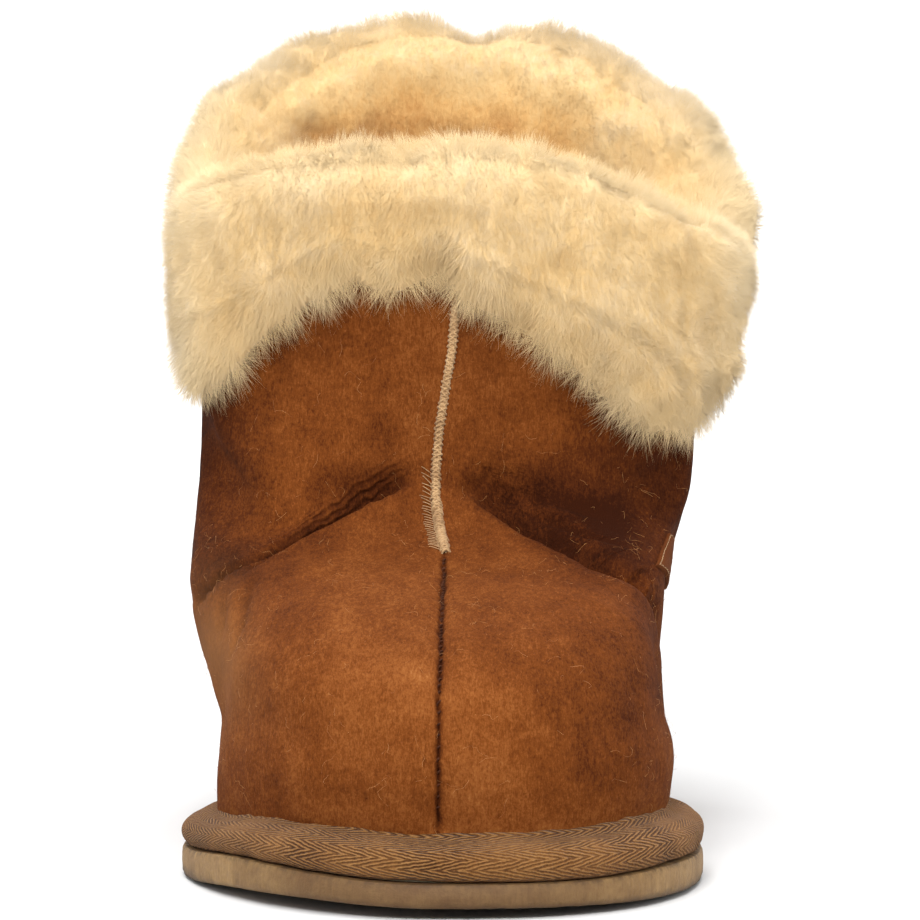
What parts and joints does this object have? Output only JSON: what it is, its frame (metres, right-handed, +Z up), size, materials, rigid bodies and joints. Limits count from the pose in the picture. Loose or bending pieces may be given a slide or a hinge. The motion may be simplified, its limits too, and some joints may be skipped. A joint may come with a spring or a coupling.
{
  "type": "house slipper",
  "caption": "Right-foot sheepskin house slipper: brown suede ankle upper, turned-down cream fleece cuff, taped platform edge and flat foam outsole.",
  "frame": {"origin": "middle of the flat tread under the ball of the foot, on the floor", "axes": "+Z up from the floor, +Y from the toe towards the heel, +X towards the foot's inner (medial) side"},
  "size_m": [0.1393, 0.2722, 0.183],
  "materials": {
    "suede": "napped",
    "fleece": "brushed",
    "eva": "matte",
    "tape": "woven",
    "thread": "matte",
    "patch_leather": "satin",
    "foam": "matte"
  },
  "bodies": {
    "root": {"upper": "suede", "cuff": "fleece", "footbed": "fleece", "outsole": "eva", "platform": "foam", "binding_tape": "tape", "front_seam": "thread", "back_seam": "thread", "side_patch": "patch_leather"}
  },
  "joints": []
}
